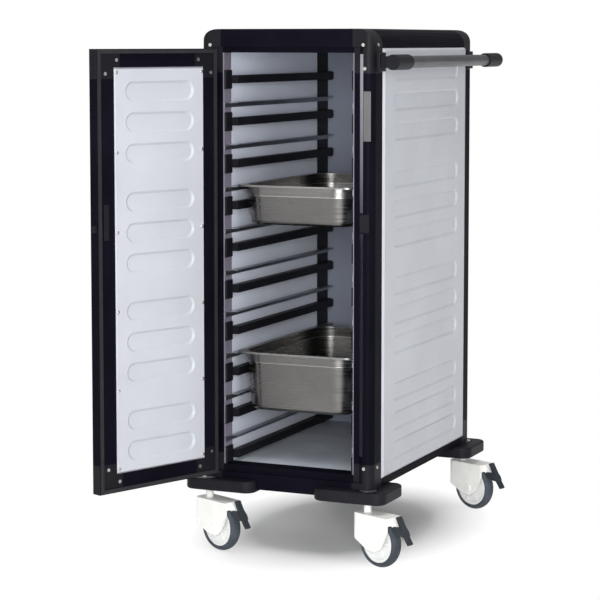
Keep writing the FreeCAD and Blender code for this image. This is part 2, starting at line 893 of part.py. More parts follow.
def escutcheon():
    """Guard plate round the spindle on the outer face."""
    face = door_outer - door_skin_proud
    plate = rod((latch_x, face, latch_height), (0, -1, 0), escutcheon_radius, escutcheon_thickness)
    return plate.cut(rod((latch_x, face + cut_past, latch_height), (0, -1, 0), spindle_radius + clear_gap,
                         escutcheon_thickness + 2 * cut_past))


def latch_lever():
    """Outside lever with its spindle."""
    face = door_outer - door_skin_proud - lever_lift
    hub = rod((latch_x, face, latch_height), (0, -1, 0), lever_width / 2, lever_thickness)
    blade = box((latch_x - lever_blade, face - lever_thickness, latch_height - lever_length),
                (latch_x + lever_blade, face, latch_height))
    edges = [e for e in blade.Edges if e.BoundBox.ZMax < latch_height - 1]
    blade = blade.makeFillet(lever_edge, edges)
    spindle = rod((latch_x, face, latch_height), (0, 1, 0), spindle_radius,
                  lever_lift + door_skin_proud + spindle_depth())
    return fused([hub, blade, spindle])


def keeper_notch():
    """Space in the right front post for the bolt."""
    gap = keeper_clear
    low = (recess_half - 2 * gap, bolt_back() - bolt_thickness - gap, latch_height - bolt_height / 2 - gap)
    high = (door_half + bolt_reach + gap, bolt_back() + gap, latch_height + bolt_height / 2 + gap)
    return box(low, high)


def keeper():
    """Plate on the post that the bolt catches behind."""
    low = (door_half + bolt_reach - keeper_lap, front - keeper_sheet, latch_height - keeper_height / 2)
    high = (low[0] + keeper_width, front, latch_height + keeper_height / 2)
    return box(low, high)


# ---- push bar ----
def push_bar():
    """Tube along the right side."""
    length = body_depth + 2 * bar_overhang
    return rod((bar_x, front - bar_overhang, bar_height), (0, 1, 0), bar_radius, length)


def bar_bracket(end):
    """Moulded bracket: foot on the post, arm, and a sleeve closed at its outer end."""
    foot_mid = end * (rear - edge_radius - bracket_foot_width / 2)
    foot = box((half_width, foot_mid - bracket_foot_width / 2, bar_height - bracket_foot_height / 2),
               (half_width + bracket_foot_thickness, foot_mid + bracket_foot_width / 2,
                bar_height + bracket_foot_height / 2))
    arm = box((half_width, foot_mid - bracket_arm / 2, bar_height - bracket_arm / 2),
              (bar_x, foot_mid + bracket_arm / 2, bar_height + bracket_arm / 2))
    tip = end * (rear + bar_overhang + sleeve_end)
    base = tip if end < 0 else tip - sleeve_length
    sleeve = rod((bar_x, base, bar_height), (0, 1, 0), sleeve_radius, sleeve_length)
    edges = [e for e in foot.Edges if e.BoundBox.XMin > half_width + 1]
    round_ends = sleeve.makeFillet(sleeve_edge, sleeve.Edges[:1] + sleeve.Edges[2:])
    solid = fused([foot.makeFillet(bracket_edge, edges), arm, round_ends])
    bore_low = front - bar_overhang
    bore = rod((bar_x, bore_low, bar_height), (0, 1, 0), bar_radius + running_gap,
               body_depth + 2 * bar_overhang)
    return solid.cut(bore)


# ---- bumpers and chassis ----
def bumper(end):
    """Right bumper block at the front (-1) or rear (1), with a well for the caster's neck."""
    outer_x = half_width + bumper_side
    outer_y = rear + bumper_front
    centre = (outer_x - bumper_length / 2, end * (outer_y - bumper_depth / 2))
    block = rounded_block(bumper_length / 2, bumper_depth / 2, bumper_radius, centre, bumper_low, body_bottom)
    edges = [e for e in block.Edges if e.BoundBox.ZLength < 0.01]
    block = block.makeFillet(bumper_edge, edges)
    well = rod((caster_x, end * caster_y, bumper_low - cut_past), (0, 0, 1), bumper_well,
               bumper_height + 2 * cut_past)
    sill = box((-cabin_half, front, body_bottom - sill_drop), (cabin_half, cabin_front, body_bottom))
    return block.cut(well).cut(sill)


def chassis_channel():
    """Right channel under the floor, open downwards."""
    x1 = half_width + bumper_side - bumper_length - chassis_gap
    x0 = x1 - chassis_width
    low = body_bottom - sill_drop
    outer = box((x0, cabin_front, low), (x1, cabin_rear, body_bottom))
    inner = box((x0 + chassis_sheet, cabin_front - cut_past, low - cut_past),
                (x1 - chassis_sheet, cabin_rear + cut_past, body_bottom - chassis_sheet))
    return outer.cut(inner)


# ---- casters, drawn about their stem with the wheel trailing along +X ----
def revolved(points, centre, arc_through=None):
    """Ring about a level axis along Y, from (radius, width) points."""
    cx, cz = centre
    corners = [V(cx + r, w, cz) for r, w in points]
    edges = [Part.makeLine(a, b) for a, b in zip(corners[:-1], corners[1:])]
    if arc_through:
        r, w = arc_through
        edges.append(Part.Arc(corners[-1], V(cx + r, w, cz), corners[0]).toShape())
    else:
        edges.append(Part.makeLine(corners[-1], corners[0]))
    face = Part.Face(Part.Wire(edges))
    return face.revolve(V(cx, 0, cz), V(0, 1, 0), 360)


def caster_fork():
    """Moulded housing over the wheel with its neck and the tongue that carries the pedal."""
    crown = [(-fork_front, fork_top), (fork_back, fork_top), (fork_tip, fork_top - fork_slope)]
    side = crown + list(fork_underside)
    half = fork_width / 2
    body = prism(side, lambda s, z: V(s, -half, z), (0, fork_width, 0))
    mid = (fork_tip - fork_front) / 2
    plan = rounded_block((fork_tip + fork_front) / 2, half, fork_corner, (mid, 0), 0, fork_top)
    body = body.common(plan)
    wheel = rod((caster_trail, fork_cheek - half, wheel_radius), (0, 1, 0), wheel_radius + tyre_gap,
                fork_width - 2 * fork_cheek)
    body = body.cut(wheel)
    beside = half + cut_past - tongue_half
    for side_y in (-half - cut_past, tongue_half):
        high = (fork_tip + cut_past, side_y + beside, fork_top + cut_past)
        body = body.cut(box((fork_back, side_y, 0), high))
    neck = rod((0, 0, fork_top - neck_root), (0, 0, 1), neck_radius, neck_height + neck_root)
    bore = rod((0, 0, 0), (0, 0, 1), stem_radius + running_gap, fork_top + neck_height + cut_past)
    axle = rod((caster_trail, -half - cut_past, wheel_radius), (0, 1, 0), axle_radius + running_gap,
               fork_width + 2 * cut_past)
    pin = rod((pedal_pivot_s, -half, pedal_pivot_z), (0, 1, 0), pedal_pin_radius + running_gap, fork_width)
    return fused([body, neck]).cut(bore).cut(axle).cut(pin)


def caster_axle():
    """Axle bolt with a head each side."""
    half = fork_width / 2
    shank = rod((caster_trail, -half, wheel_radius), (0, 1, 0), axle_radius, fork_width)
    heads = [rod((caster_trail, y, wheel_radius), (0, 1, 0), axle_head_radius, axle_head)
             for y in (-half - axle_head, half)]
    return fused([shank] + heads)


def caster_hub():
    """Wheel body: rim, thin web and a boss between the cheeks."""
    boss = fork_width / 2 - fork_cheek - clear_gap
    half = hub_width / 2
    bore = axle_radius + running_gap
    rim = hub_radius - hub_rim
    foot = hub_boss_radius + hub_draft
    low = [(bore, -boss), (hub_boss_radius, -boss), (foot, -hub_web), (rim - hub_draft, -hub_web), (rim, -half),
           (hub_radius, -half)]
    high = [(radius, -width) for radius, width in reversed(low)]
    return revolved(low + high, (caster_trail, wheel_radius))


def caster_tyre():
    """Tyre with a crowned tread."""
    half = tyre_width / 2
    shoulder = wheel_radius - tyre_crown
    bead = hub_radius + tyre_bead
    points = [(shoulder, half), (bead, half), (hub_radius, hub_width / 2), (hub_radius, -hub_width / 2),
              (bead, -half), (shoulder, -half)]
    return revolved(points, (caster_trail, wheel_radius), (wheel_radius, 0))


def caster_pedal():
    """Brake pedal: two ears on the tongue, a pin through it, arms and a long narrow sloping pad."""
    half = pedal_ears_width / 2
    s, z = pedal_pivot_s, pedal_pivot_z
    arms = prism(pedal_arm, lambda a, b: V(a, -half, b), (0, pedal_ears_width, 0))
    pad = prism(pedal_pad, lambda a, b: V(a, -pedal_pad_width / 2, b), (0, pedal_pad_width, 0))
    ears = rod((s, -half, z), (0, 1, 0), pedal_ear_radius, pedal_ears_width)
    pieces = [arms, pad, ears]
    between = tongue_half + clear_gap
    slot = rod((s, -between, z), (0, 1, 0), pedal_slot, 2 * between)
    pin = rod((s, -half, z), (0, 1, 0), pedal_pin_radius, pedal_ears_width)
    return fused([fused(pieces).cut(slot), pin])


def caster_stem():
    """Fixed stem: plate under the corner, bearing cup and pin."""
    neck_top = fork_top + neck_height
    plate = rod((0, 0, body_bottom - stem_plate), (0, 0, 1), stem_plate_radius, stem_plate)
    cup = rod((0, 0, neck_top + clear_gap), (0, 0, 1), stem_cup_radius, body_bottom - neck_top - clear_gap)
    pin = rod((0, 0, stem_end), (0, 0, 1), stem_radius, body_bottom - stem_end)
    return fused([plate, cup, pin])


def placed_caster(shape, side, end):
    """A caster piece turned and moved to its corner."""
    copy = shape.copy()
    copy.rotate(V(0, 0, 0), V(0, 0, 1), caster_turn)
    copy.translate(V(side * caster_x, end * caster_y, 0))
    return copy


corners = {"front_right": (1, -1), "front_left": (-1, -1), "rear_right": (1, 1), "rear_left": (-1, 1)}


# ---- the whole cart ----
def cabinet_nodes():
    """Frame, walls and floor."""
    post = front_post()
    right_post = post.cut(keeper_notch())
    back = rear_post()
    screws = [screw(*place, axis) for place, axis in frame_screw_places()]
    seats = Part.makeCompound(screws)
    caps = [corner_cap(True, at_top).cut(seats) for at_top in (True, False)]
    caps += [corner_cap(False, at_top) for at_top in (True, False)]
    rails = [side_top_rail(), side_bottom_rail()]
    return {
        "front_post_right": [right_post],
        "front_post_left": [mirrored(post)],
        "rear_post_right": [back],
        "rear_post_left": [mirrored(back)],
        "corner_caps": [c for cap in caps for c in both_sides(cap)],
        "side_rails": [r for rail in rails for r in both_sides(rail)],
        "top_rails": [top_rail_front(), top_rail_rear()],
        "bottom_rails": [bottom_rail_front(), bottom_rail_rear()],
        "frame_screws": [s for one in screws for s in both_sides(one)],
        "side_panel_right": [side_panel()],
        "side_panel_left": [mirrored(side_panel())],
        "back_panel": [back_panel()],
        "top_panel": [top_panel()],
        "liner_shell": [liner_shell()],
        "floor_pan": [floor_pan()],
        "base_panel": [base_panel()],
        "insulation_boards": insulation_boards(),
        "chassis_channels": both_sides(chassis_channel()),
        "bumpers": [b for end in (-1, 1) for b in both_sides(bumper(end))],
        "push_bar": [push_bar()],
        "push_bar_brackets": [bar_bracket(-1), bar_bracket(1)],
        "latch_keeper": [keeper()]}


def rack_nodes():
    """Uprights, rails and ledges of both sides."""
    rails = [solid for number in range(rail_count) for solid in runner_rail(number)]
    tabs = [stop_tab(number) for number in range(rail_count)]
    ledges = [ledge(number) for number in range(rail_count - 1)]
    return {
        "rack_uprights_front": both_sides(front_upright()),
        "rack_uprights_rear": [s for one in [rear_upright()] + tabs for s in both_sides(one)],
        "runner_rails_right": rails,
        "runner_rails_left": [mirrored(rail) for rail in rails],
        "rack_ledges_right": ledges,
        "rack_ledges_left": [mirrored(one) for one in ledges],
        "pan_upper": [pan(upper_pan_depth, upper_pan_ledge)],
        "pan_lower": [pan(lower_pan_depth, lower_pan_ledge)]}


def door_nodes():
    """Door, hinges and latch."""
    closed = {
        "door_stiles": door_stiles(),
        "door_rails": door_rails(),
        "door_corner_caps": door_corners(),
        "door_screws": door_screws(),
        "door_inner_skin": [door_inner_skin()],
        "door_outer_skin": [door_outer_skin()],
        "door_core": [door_core()],
        "door_gasket": [door_gasket()],
        "door_hinge_leaves": [hinge_leaf(z) for z in hinge_heights],
        "latch_plates": [latch_plate(), escutcheon()],
        "latch_bolt": [latch_bolt()],
        "latch_lever": [latch_lever()]}
    nodes = {name: [opened(solid) for solid in solids] for name, solids in closed.items()}
    nodes["hinge_brackets"] = [make(z) for z in hinge_heights for make in (hinge_bracket, hinge_pin)]
    return nodes


def caster_nodes():
    """Stems, forks, hubs, tyres and pedals of the four casters."""
    nodes = {"caster_stems": [placed_caster(caster_stem(), *spot) for spot in corners.values()]}
    makers = {"fork": [caster_fork(), caster_axle()], "hub": [caster_hub()],
              "tyre": [caster_tyre()], "pedal": [caster_pedal()]}
    for corner, spot in corners.items():
        for piece, solids in makers.items():
            nodes["caster_" + piece + "_" + corner] = [placed_caster(solid, *spot) for solid in solids]
    return nodes


def all_nodes():
    """Every node's solids, drawn about the middle of the cabinet."""
    nodes = {}
    for group in (cabinet_nodes(), rack_nodes(), door_nodes(), caster_nodes()):
        nodes.update(group)
    return nodes


def middle_shift(nodes):
    """Move that puts the middle of the whole cart's box on the origin."""
    whole = FreeCAD.BoundBox()
    for solids in nodes.values():
        for solid in solids:
            whole.add(solid.optimalBoundingBox(False, False))
    return V(-(whole.XMin + whole.XMax) / 2, -(whole.YMin + whole.YMax) / 2, -whole.ZMin)


nodes = all_nodes()
shift = middle_shift(nodes)
os.makedirs("parts", exist_ok=True)
for name, solids in nodes.items():
    shape = solids[0] if len(solids) == 1 else Part.makeCompound(solids)
    shape.translate(shift)
    shape.exportStep("parts/" + name + ".step")
print(len(nodes), "nodes; moved by", [round(value, 4) for value in shift])
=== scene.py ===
"""Looks of the enclosed meal tray cart: finishes, small trim, floor, light and camera.

Lengths are metres, +Z is up, and colours are linear.
"""
import json
import math

import bmesh
import bpy
from mathutils import Matrix, Vector


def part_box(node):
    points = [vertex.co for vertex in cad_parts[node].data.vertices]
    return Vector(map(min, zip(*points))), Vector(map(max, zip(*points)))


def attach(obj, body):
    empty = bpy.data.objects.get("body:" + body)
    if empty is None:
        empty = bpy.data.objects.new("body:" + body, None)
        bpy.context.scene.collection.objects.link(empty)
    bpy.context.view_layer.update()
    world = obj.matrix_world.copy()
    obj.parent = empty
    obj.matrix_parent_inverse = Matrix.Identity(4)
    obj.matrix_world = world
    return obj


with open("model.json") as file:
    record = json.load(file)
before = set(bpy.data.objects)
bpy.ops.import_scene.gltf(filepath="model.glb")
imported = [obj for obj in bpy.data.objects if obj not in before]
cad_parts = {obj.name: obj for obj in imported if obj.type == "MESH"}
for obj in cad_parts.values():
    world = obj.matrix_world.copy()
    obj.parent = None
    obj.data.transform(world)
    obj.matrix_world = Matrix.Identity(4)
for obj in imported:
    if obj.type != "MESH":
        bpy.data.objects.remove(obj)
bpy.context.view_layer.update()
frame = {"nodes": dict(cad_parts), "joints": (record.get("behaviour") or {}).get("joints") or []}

X, Y, Z = 0, 1, 2

# ---- camera, fitted to the photograph: place from the right front post's outer corner, degrees ----
CAMERA_FROM_CORNER = (1.8539, -4.6497, 1.2737)
CAMERA_YAW = 23.746
CAMERA_PITCH = 5.431
CAMERA_LENS = 125.16
CAMERA_SHIFT = -0.10
CAMERA_SENSOR = 36.0
CAMERA_CLIP = (0.1, 60.0)

# ---- colours ----
BLACK_FRAME = (0.0042, 0.0039, 0.0078, 1)
BLACK_MOULDED = (0.0075, 0.0075, 0.0105, 1)
GREY_CAP = (0.0062, 0.0062, 0.0095, 1)
PALE_SKIN = (0.50, 0.512, 0.555, 1)
PALE_LINER = (0.71, 0.745, 0.84, 1)
# painted shade for the deep back of the cabin
LINER_BACK_SHADE = (0.22, 0.24, 0.30, 1)
STAINLESS = (0.182, 0.177, 0.172, 1)
# painted highlight on the pans' rims and corners
STEEL_EDGE_HIGHLIGHT = (0.75, 0.74, 0.72, 1)
STRIP = (0.26, 0.24, 0.30, 1)
LEDGE = (0.30, 0.31, 0.34, 1)
FLOOR_SHEET = (0.66, 0.70, 0.78, 1)
BAR_GREY = (0.145, 0.145, 0.155, 1)
OFF_WHITE = (0.93, 0.925, 0.89, 1)
HUB_WHITE = (0.84, 0.845, 0.83, 1)
TYRE_GREY = (0.040, 0.048, 0.062, 1)
PEDAL_GREY = (0.030, 0.035, 0.042, 1)
ZINC = (0.52, 0.51, 0.50, 1)
FOAM = (0.72, 0.64, 0.42, 1)
PLATE = (0.17, 0.17, 0.17, 1)
# painted highlight of the recess strip, and the strip's unlit colour below it
BEVEL_HIGHLIGHT = (0.40, 0.39, 0.44, 1)
TRIM_DULL = (0.012, 0.012, 0.018, 1)
# darker floor colour inside the oval round the cart, painted shadow added to the lamps' real shadow
FLOOR_SHADE = (0.74, 0.74, 0.74, 1)
WORLD = (0.97, 0.985, 1.0, 1)
WHITE = (1, 1, 1, 1)

# ---- noise: the part of its range that the finishes use ----
NOISE_LOW = 0.3
NOISE_HIGH = 0.7

# ---- evenness, softened normal against the face's own, at which an edge is lightened the most ----
MOST_LIGHTENED = 0.85

# ---- heights between which the recess strip's painted highlight fades in, dull below and bright above ----
HIGHLIGHT_FADE_FROM = 0.78
HIGHLIGHT_FADE_TO = 1.22

# ---- painted shade: the cabin's back turns dark between these distances in front of the liner's outer face ----
BACK_SHADE_SPAN = (0.004, 0.003)


# ---- parts of a material ----
def shader(name, colour, roughness, metallic=0.0, gloss=0.5):
    """Material with its main shader and the texture coordinates that every finish uses."""
    material = bpy.data.materials.new(name)
    material.use_nodes = True
    tree = material.node_tree
    main = tree.nodes["Principled BSDF"]
    main.inputs["Base Color"].default_value = colour
    main.inputs["Roughness"].default_value = roughness
    main.inputs["Metallic"].default_value = metallic
    main.inputs["Specular IOR Level"].default_value = gloss
    place = tree.nodes.new("ShaderNodeTexCoord")
    return material, tree, main, place


def noise(tree, place, scale, detail=4.0, stretch=(1, 1, 1)):
    """Noise in the object's own space, packed tighter along an axis by a higher stretch."""
    mapping = tree.nodes.new("ShaderNodeMapping")
    mapping.inputs["Scale"].default_value = stretch
    tree.links.new(place.outputs["Object"], mapping.inputs["Vector"])
    texture = tree.nodes.new("ShaderNodeTexNoise")
    texture.inputs["Scale"].default_value = scale
    texture.inputs["Detail"].default_value = detail
    tree.links.new(mapping.outputs["Vector"], texture.inputs["Vector"])
    return texture.outputs["Fac"]


def lines_along(axis, packed, loose):
    """Stretch that draws noise out into lines along one axis."""
    stretch = [packed, packed, packed]
    stretch[axis] = loose
    return stretch


def level_lines(packed, loose):
    """Stretch that draws noise out into level lines round a piece."""
    return (loose, loose, packed)


def spread(tree, value, low, high, from_low=NOISE_LOW, from_high=NOISE_HIGH):
    """Value moved from one range to another."""
    node = tree.nodes.new("ShaderNodeMapRange")
    node.inputs["From Min"].default_value = from_low
    node.inputs["From Max"].default_value = from_high
    node.inputs["To Min"].default_value = low
    node.inputs["To Max"].default_value = high
    tree.links.new(value, node.inputs["Value"])
    return node.outputs["Result"]


def vary_roughness(tree, main, value, low, high):
    """Roughness that follows a value between two limits."""
    tree.links.new(spread(tree, value, low, high), main.inputs["Roughness"])


def shaded(colour, factor):
    """The colour made lighter or darker."""
    return tuple(min(1.0, part * factor) for part in colour[:3]) + (1,)


def tint(tree, main, value, colour, darkest, lightest):
    """Base colour that varies with a value between a darker and a lighter shade."""
    ramp = tree.nodes.new("ShaderNodeValToRGB")
    ends = ramp.color_ramp.elements
    ends[0].position = NOISE_LOW
    ends[0].color = shaded(colour, darkest)
    ends[1].position = NOISE_HIGH
    ends[1].color = shaded(colour, lightest)
    tree.links.new(value, ramp.inputs["Fac"])
    tree.links.new(ramp.outputs["Color"], main.inputs["Base Color"])
    return ramp


def mix_in(tree, main, ramp, share, colour):
    """Base colour that goes from the ramp's to another as the share goes from 0 to 1."""
    mix = tree.nodes.new("ShaderNodeMixRGB")
    mix.inputs["Color2"].default_value = colour
    tree.links.new(share, mix.inputs["Fac"])
    tree.links.new(ramp.outputs["Color"], mix.inputs["Color1"])
    tree.links.new(mix.outputs["Color"], main.inputs["Base Color"])


def soft_normal(tree, radius):
    """Normal that is rounded over edges."""
    bevel = tree.nodes.new("ShaderNodeBevel")
    bevel.samples = 4
    bevel.inputs["Radius"].default_value = radius
    return bevel.outputs["Normal"]


def relief(tree, main, value, strength, distance, edge=0.0):
    """Bump from a height, over edges that are softened by a small radius."""
    bump = tree.nodes.new("ShaderNodeBump")
    bump.inputs["Strength"].default_value = strength
    bump.inputs["Distance"].default_value = distance
    tree.links.new(value, bump.inputs["Height"])
    if edge:
        tree.links.new(soft_normal(tree, edge), bump.inputs["Normal"])
    tree.links.new(bump.outputs["Normal"], main.inputs["Normal"])


def lighter_edges(tree, main, ramp, colour, width, amount, flat=0.99):
    """Another colour along edges; a face that is more even than flat keeps its own."""
    geometry = tree.nodes.new("ShaderNodeNewGeometry")
    evenness = tree.nodes.new("ShaderNodeVectorMath")
    evenness.operation = "DOT_PRODUCT"
    tree.links.new(soft_normal(tree, width), evenness.inputs[0])
    tree.links.new(geometry.outputs["Normal"], evenness.inputs[1])
    share = spread(tree, evenness.outputs["Value"], amount, 0.0, MOST_LIGHTENED, flat)
    mix_in(tree, main, ramp, share, colour)


def blend_along(tree, main, place, ramp, axis, start, end, colour):
    """Turns the ramp's colour into another between two places along one axis."""
    split = tree.nodes.new("ShaderNodeSeparateXYZ")
    tree.links.new(place.outputs["Object"], split.inputs["Vector"])
    share = spread(tree, split.outputs[axis], 0.0, 1.0, start, end)
    mix_in(tree, main, ramp, share, colour)


def seen_by(tree, ray):
    """1 for the camera and for one other kind of ray, 0 for the rest."""
    path = tree.nodes.new("ShaderNodeLightPath")
    seen = tree.nodes.new("ShaderNodeMath")
    seen.operation = "MAXIMUM"
    tree.links.new(path.outputs["Is Camera Ray"], seen.inputs[0])
    tree.links.new(path.outputs[ray], seen.inputs[1])
    return seen.outputs["Value"]


def join(tree, share, first, second, target):
    """Mixes two shaders into the target: the first at a share of 0, the second at 1."""
    mix = tree.nodes.new("ShaderNodeMixShader")
    tree.links.new(share, mix.inputs["Fac"])
    tree.links.new(first, mix.inputs[1])
    tree.links.new(second, mix.inputs[2])
    tree.links.new(mix.outputs["Shader"], target)


# ---- finishes ----
def anodised(name, colour, along=Z):
    """Satin black extrusion with fine draw lines along one axis."""
    material, tree, main, place = shader(name, colour, roughness=0.46, gloss=0.02)
    lines = noise(tree, place, scale=1.0, detail=3.0, stretch=lines_along(along, 260.0, 3.0))
    cloud = noise(tree, place, scale=7.0)
    ramp = tint(tree, main, cloud, colour, darkest=0.8, lightest=1.35)
    lighter_edges(tree, main, ramp, shaded(colour, 3.5), width=0.0012, amount=0.45)
    vary_roughness(tree, main, lines, 0.38, 0.54)
    relief(tree, main, lines, strength=0.12, distance=0.0004, edge=0.0008)
    return material


def moulded(name, colour, roughness):
    """Moulded plastic with a fine leather-like grain and lighter edges."""
    edge = 0.0015
    material, tree, main, place = shader(name, colour, roughness, gloss=0.16)
    grain = noise(tree, place, scale=900.0, detail=2.0)
    cloud = noise(tree, place, scale=14.0)
    ramp = tint(tree, main, cloud, colour, darkest=0.8, lightest=1.25)
    lighter_edges(tree, main, ramp, shaded(colour, 2.4), width=edge, amount=0.5)
    vary_roughness(tree, main, grain, roughness - 0.08, roughness + 0.1)
    relief(tree, main, grain, strength=0.25, distance=0.0003, edge=edge)
    return material


def coated_sheet(name, colour, roughness, gloss):
    """Pale coated sheet with faint rolling lines and soft clouds, with its parts."""
    material, tree, main, place = shader(name, colour, roughness, gloss=gloss)
    lines = noise(tree, place, scale=1.0, stretch=level_lines(420.0, 40.0))
    cloud = noise(tree, place, scale=5.0, detail=5.0)
    ramp = tint(tree, main, cloud, colour, darkest=0.94, lightest=1.05)
    relief(tree, main, lines, strength=0.05, distance=0.0004, edge=0.0012)
    return material, tree, main, place, lines, ramp


def coated_skin(name, colour):
    """Pale outer and door skins."""
    material, tree, main, place, lines, ramp = coated_sheet(name, colour, roughness=0.34, gloss=0.5)
    vary_roughness(tree, main, lines, 0.28, 0.46)
    return material


def cabin_lining(name):
    """Pale coated walls and ceiling, with painted shade that darkens the back."""
    material, tree, main, place, lines, ramp = coated_sheet(name, PALE_LINER, roughness=0.45, gloss=0.4)
    outer_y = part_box("liner_shell")[1].y
    pale_until, dark_from = (outer_y - distance for distance in BACK_SHADE_SPAN)
    # painted shade: the back wall turns dark
    blend_along(tree, main, place, ramp, Y, pale_until, dark_from, LINER_BACK_SHADE)
    vary_roughness(tree, main, lines, 0.38, 0.56)
    return material


def highlight_strip(name):
    """Strip carrying a painted highlight that grows brighter towards its top."""
    material, tree, main, place = shader(name, TRIM_DULL, roughness=0.35)
    lines = noise(tree, place, scale=1.0, stretch=lines_along(Z, 300.0, 4.0))
    ramp = tint(tree, main, lines, TRIM_DULL, darkest=0.8, lightest=1.3)
    # painted highlight: the strip turns bright towards its top
    blend_along(tree, main, place, ramp, Z, HIGHLIGHT_FADE_FROM, HIGHLIGHT_FADE_TO, BEVEL_HIGHLIGHT)
    vary_roughness(tree, main, lines, 0.28, 0.45)
    relief(tree, main, lines, strength=0.05, distance=0.0003, edge=0.0004)
    return material


def brushed(name, colour, roughness, stretch, strength=0.12, edge_highlight=None, metallic=1.0):
    """Bare metal with brush lines along the stretch's loose axes, and painted highlights on its edges if
    asked.
    """
    material, tree, main, place = shader(name, colour, roughness, metallic)
    lines = noise(tree, place, scale=1.0, detail=5.0, stretch=stretch)
    cloud = noise(tree, place, scale=9.0)
    ramp = tint(tree, main, cloud, colour, darkest=0.86, lightest=1.08)
    # painted highlight along edges and corners
    if edge_highlight:
        lighter_edges(tree, main, ramp, edge_highlight, width=0.0025, amount=0.9, flat=0.96)
    vary_roughness(tree, main, lines, roughness - 0.07, roughness + 0.12)
    relief(tree, main, lines, strength, distance=0.0003, edge=0.0006)
    return material


def rubber(name, colour):
    """Rubber with dust in its pores."""
    material, tree, main, place = shader(name, colour, roughness=0.72)
    pores = noise(tree, place, scale=500.0, detail=3.0)
    dust = noise(tree, place, scale=30.0, detail=5.0)
    tint(tree, main, dust, colour, darkest=0.75, lightest=1.5)
    relief(tree, main, pores, strength=0.3, distance=0.0004, edge=0.001)
    return material


def glossy_plastic(name, colour):
    """Off-white moulding with a soft gloss and faint grime."""
    material, tree, main, place = shader(name, colour, roughness=0.33)
    grime = noise(tree, place, scale=18.0, detail=6.0)
    tint(tree, main, grime, colour, darkest=0.90, lightest=1.03)
    grain = noise(tree, place, scale=350.0, detail=2.0)
    vary_roughness(tree, main, grain, 0.27, 0.42)
    relief(tree, main, grain, strength=0.08, distance=0.0003, edge=0.0018)
    return material


def foam_board(name):
    """Cut rigid foam."""
    material, tree, main, place = shader(name, FOAM, roughness=0.9)
    cells = noise(tree, place, scale=600.0, detail=3.0)
    tint(tree, main, cells, FOAM, darkest=0.85, lightest=1.08)
    relief(tree, main, cells, strength=0.5, distance=0.0006)
    return material


def materials():
    """One material for each finish."""
    return {
        "frame_black": anodised("frame_black", BLACK_FRAME),
        "rail_black": anodised("rail_black", BLACK_FRAME, along=X),
        "side_rail_black": anodised("side_rail_black", BLACK_FRAME, along=Y),
        "cap": moulded("cap_grey", GREY_CAP, roughness=0.5),
        "moulded": moulded("moulded_black", BLACK_MOULDED, roughness=0.5),
        "skin": coated_skin("panel_skin", PALE_SKIN),
        "liner": cabin_lining("liner_skin"),
        "roof": anodised("roof_black", BLACK_FRAME, along=Y),
        # pans: their bright rims and corners are painted highlights
        "stainless": brushed("stainless", STAINLESS, 0.28, level_lines(260.0, 6.0),
                             strength=0.03, edge_highlight=STEEL_EDGE_HIGHLIGHT),
        "strip": brushed("strip_metal", STRIP, 0.42, lines_along(Z, 400.0, 12.0), metallic=0.3),
        "ledge": brushed("ledge_metal", LEDGE, 0.38, lines_along(Y, 400.0, 8.0)),
        "bar": brushed("bar_metal", BAR_GREY, 0.42, lines_along(Y, 300.0, 6.0), strength=0.2),
        "zinc": brushed("zinc", ZINC, 0.3, (200.0, 200.0, 200.0), strength=0.05),
        "seal": rubber("seal_rubber", BLACK_MOULDED),
        "tyre": rubber("tyre_rubber", TYRE_GREY),
        "pedal": moulded("pedal_grey", PEDAL_GREY, roughness=0.45),
        "fork": glossy_plastic("fork_white", OFF_WHITE),
        "hub": glossy_plastic("hub_white", HUB_WHITE),
        "foam": foam_board("foam"),
        "plate": brushed("blank_plate", PLATE, 0.5, lines_along(Z, 300.0, 20.0), strength=0.1),
        "trim": highlight_strip("bevel_highlight_strip"),
        "floor_sheet": brushed("floor_sheet", FLOOR_SHEET, 0.5, lines_along(Y, 160.0, 5.0),
                               strength=0.35, metallic=0.15)}


FINISHES = {
    "frame_black": ("front_post", "rear_post", "door_stiles", "chassis", "base_panel"),
    "rail_black": ("top_rails", "bottom_rails", "door_rails"),
    "side_rail_black": ("side_rails",),
    "roof": ("top_panel",),
    "cap": ("corner_caps", "door_corner_caps"),
    "moulded": ("push_bar_brackets", "bumpers", "runner_rails", "rack_uprights_rear",
                "latch_lever", "latch_plates", "latch_bolt", "latch_keeper",
                "hinge_brackets", "door_hinge_leaves"),
    "skin": ("side_panel", "back_panel", "door_inner_skin", "door_outer_skin"),
    "liner": ("liner_shell",),
    "floor_sheet": ("floor_pan",),
    "stainless": ("pan_",),
    "strip": ("rack_uprights_front",),
    "ledge": ("rack_ledges",),
    "bar": ("push_bar",),
    "zinc": ("frame_screws", "door_screws", "caster_stems"),
    "seal": ("door_gasket",),
    "tyre": ("caster_tyre",),
    "pedal": ("caster_pedal",),
    "fork": ("caster_fork",),
    "hub": ("caster_hub",),
    "foam": ("insulation_boards", "door_core")}


def finish_of(name):
    """The finish whose listed start fits most of a node's name."""
    fits = [(len(start), finish) for finish, starts in FINISHES.items() for start in starts
            if name.startswith(start)]
    return max(fits)[1]


def dress(finishes):
    """Gives every CAD node its finish."""
    for name, node in frame["nodes"].items():
        node.data.materials.clear()
        node.data.materials.append(finishes[finish_of(name)])


# ---- shapes of the small trim ----
def finished(name, fill, finish, body, rounding=0.0):
    """Object from a bmesh that fill makes, with its finish, riding on a body."""
    mesh = bpy.data.meshes.new(name)
    form = bmesh.new()
    fill(form)
    bmesh.ops.recalc_face_normals(form, faces=form.faces)
    form.to_mesh(mesh)
    form.free()
    piece = bpy.data.objects.new(name, mesh)
    bpy.context.scene.collection.objects.link(piece)
    mesh.materials.append(finish)
    if rounding:
        rounded = piece.modifiers.new("rounding", "BEVEL")
        rounded.width = rounding
        rounded.segments = 3
        rounded.limit_method = "ANGLE"
    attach(piece, body)
    return piece


